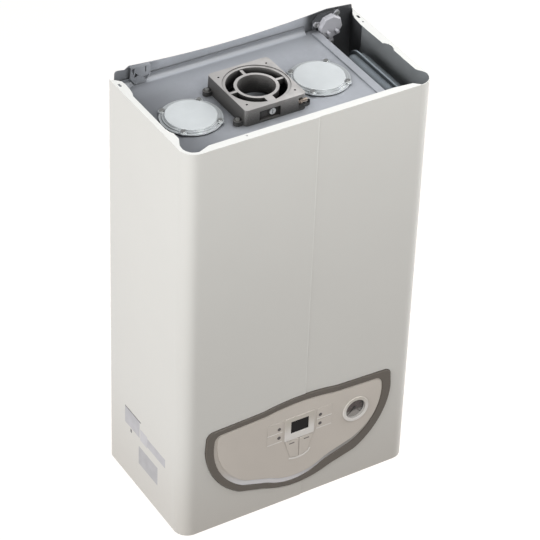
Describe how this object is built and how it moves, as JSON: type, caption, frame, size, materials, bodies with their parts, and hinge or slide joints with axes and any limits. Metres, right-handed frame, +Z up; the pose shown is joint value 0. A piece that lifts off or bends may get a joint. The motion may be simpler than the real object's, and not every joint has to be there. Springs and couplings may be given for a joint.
{
  "type": "wall-hung combi boiler",
  "caption": "Wall-hung gas combi boiler: folded white casing, open top with concentric flue adaptor and blanking caps, dark-rimmed control panel with display, keys and pressure gauge.",
  "frame": {"origin": "bottom centre of the rear frame, on the wall plane", "axes": "+Z up, +Y into the wall, +X to the right of someone facing the front"},
  "size_m": [0.44, 0.244, 0.7985],
  "materials": {
    "casing_white": "smooth white powder coat",
    "galvanised": "galvanised sheet",
    "screw_steel": "bright zinc plate",
    "cast_alloy": "die-cast, matt",
    "cap_steel": "bright pressed steel",
    "cap_pale": "pale satin",
    "gasket": "matt black seal",
    "brass": "plain brass",
    "copper_tube": "drawn copper tube",
    "copper_fins": "tinned copper",
    "dark_can": "dark painted can",
    "fibre": "ceramic fibre board",
    "steel": "plain steel",
    "ceramic": "glazed ceramic",
    "vessel_grey": "grey-blue paint",
    "grey_plastic": "grey moulding",
    "black_plastic": "black moulding",
    "bezel_grey": "satin dark grey moulding",
    "fascia_pale": "pale warm grey moulding",
    "frame_pale": "pale moulding",
    "display": "dark display glass",
    "button_grey": "dark grey buttons",
    "dial_grey": "printed dial",
    "needle_black": "black needle",
    "lens": "clear lens",
    "board_green": "circuit board",
    "blue_plastic": "blue knob",
    "red_plastic": "red knob"
  },
  "bodies": {
    "chassis": {"rear_frame": "galvanised", "panel_arms": "galvanised", "chamber_body": "galvanised", "chamber_cover": "galvanised", "machine_screws": "screw_steel", "flue_adaptor": "cast_alloy", "top_gaskets": "gasket", "test_plug": "screw_steel", "test_nipple": "brass", "left_cap_flange": "cap_steel", "left_cap_disc": "cap_pale", "right_cap_flange": "cap_steel", "right_cap_disc": "cap_pale", "fan_housing": "galvanised", "fan_motor": "dark_can", "flue_hood": "galvanised", "heat_exchanger": "copper_fins", "combustion_box": "steel", "insulation_lining": "fibre", "burner": "steel", "gas_manifold": "steel", "electrodes": "ceramic", "gas_inlet": "brass", "gas_valve": "cast_alloy", "gas_pipe": "copper_tube", "flow_group": "brass", "valve_actuator": "black_plastic", "return_group": "brass", "pump_motor": "dark_can", "air_vent": "brass", "plate_exchanger": "steel", "flow_pipe": "copper_tube", "return_pipe": "copper_tube", "expansion_vessel": "vessel_grey", "vessel_bracket": "galvanised", "vessel_pipe": "copper_tube", "air_switch": "grey_plastic", "panel_bezel": "bezel_grey", "control_fascia": "fascia_pale", "lcd_frame": "frame_pale", "lcd_window": "display", "gauge_case": "frame_pale", "gauge_dial": "dial_grey", "gauge_lens": "lens", "control_box": "grey_plastic", "control_board": "board_green"},
    "casing": {"casing_shell": "casing_white", "casing_screws": "screw_steel"},
    "fan_wheel": {"fan_impeller": "steel"},
    "pump_wheel": {"pump_rotor": "black_plastic"},
    "valve_rod": {"valve_stem": "steel"},
    "fill_handle": {"filling_knob": "blue_plastic"},
    "relief_handle": {"safety_knob": "red_plastic"},
    "needle": {"gauge_needle": "needle_black"},
    "left_key": {"key_left": "fascia_pale"},
    "right_key": {"key_right": "fascia_pale"},
    "press_1": {"button_1": "button_grey"},
    "press_2": {"button_2": "button_grey"},
    "press_3": {"button_3": "button_grey"},
    "press_4": {"button_4": "button_grey"}
  },
  "joints": [
    {"name": "casing_pull", "type": "slide", "parent": "chassis", "child": "casing", "axis": [0, -1, 0], "range_m": [0, 0.3]},
    {"name": "fan_spin", "type": "hinge", "parent": "chassis", "child": "fan_wheel", "pos_m": [-0.087, -0.13, 0.6676], "axis": [0, 1, 0], "continuous": true},
    {"name": "pump_spin", "type": "hinge", "parent": "chassis", "child": "pump_wheel", "pos_m": [0.14, -0.07, 0.15], "axis": [0, 1, 0], "continuous": true},
    {"name": "valve_shift", "type": "slide", "parent": "chassis", "child": "valve_rod", "axis": [0, 0, 1], "range_m": [0, 0.006]},
    {"name": "fill_turn", "type": "hinge", "parent": "chassis", "child": "fill_handle", "pos_m": [0.105, -0.07, 0.016], "axis": [0, 0, -1], "range_deg": [0, 360]},
    {"name": "relief_turn", "type": "hinge", "parent": "chassis", "child": "relief_handle", "pos_m": [0.197, -0.07, 0.095], "axis": [0, 0, 1], "range_deg": [0, 90]},
    {"name": "needle_swing", "type": "hinge", "parent": "chassis", "child": "needle", "pos_m": [0.109, -0.239, 0.148], "axis": [0, 1, 0], "range_deg": [0, 270]},
    {"name": "left_key_press", "type": "slide", "parent": "chassis", "child": "left_key", "axis": [0, 1, 0], "range_m": [0, 0.0012], "stiffness_N_per_m": 300},
    {"name": "right_key_press", "type": "slide", "parent": "chassis", "child": "right_key", "axis": [0, 1, 0], "range_m": [0, 0.0012], "stiffness_N_per_m": 300},
    {"name": "button_1_press", "type": "slide", "parent": "chassis", "child": "press_1", "axis": [0, 1, 0], "range_m": [0, 0.001], "stiffness_N_per_m": 300},
    {"name": "button_2_press", "type": "slide", "parent": "chassis", "child": "press_2", "axis": [0, 1, 0], "range_m": [0, 0.001], "stiffness_N_per_m": 300},
    {"name": "button_3_press", "type": "slide", "parent": "chassis", "child": "press_3", "axis": [0, 1, 0], "range_m": [0, 0.001], "stiffness_N_per_m": 300},
    {"name": "button_4_press", "type": "slide", "parent": "chassis", "child": "press_4", "axis": [0, 1, 0], "range_m": [0, 0.001], "stiffness_N_per_m": 300}
  ]
}
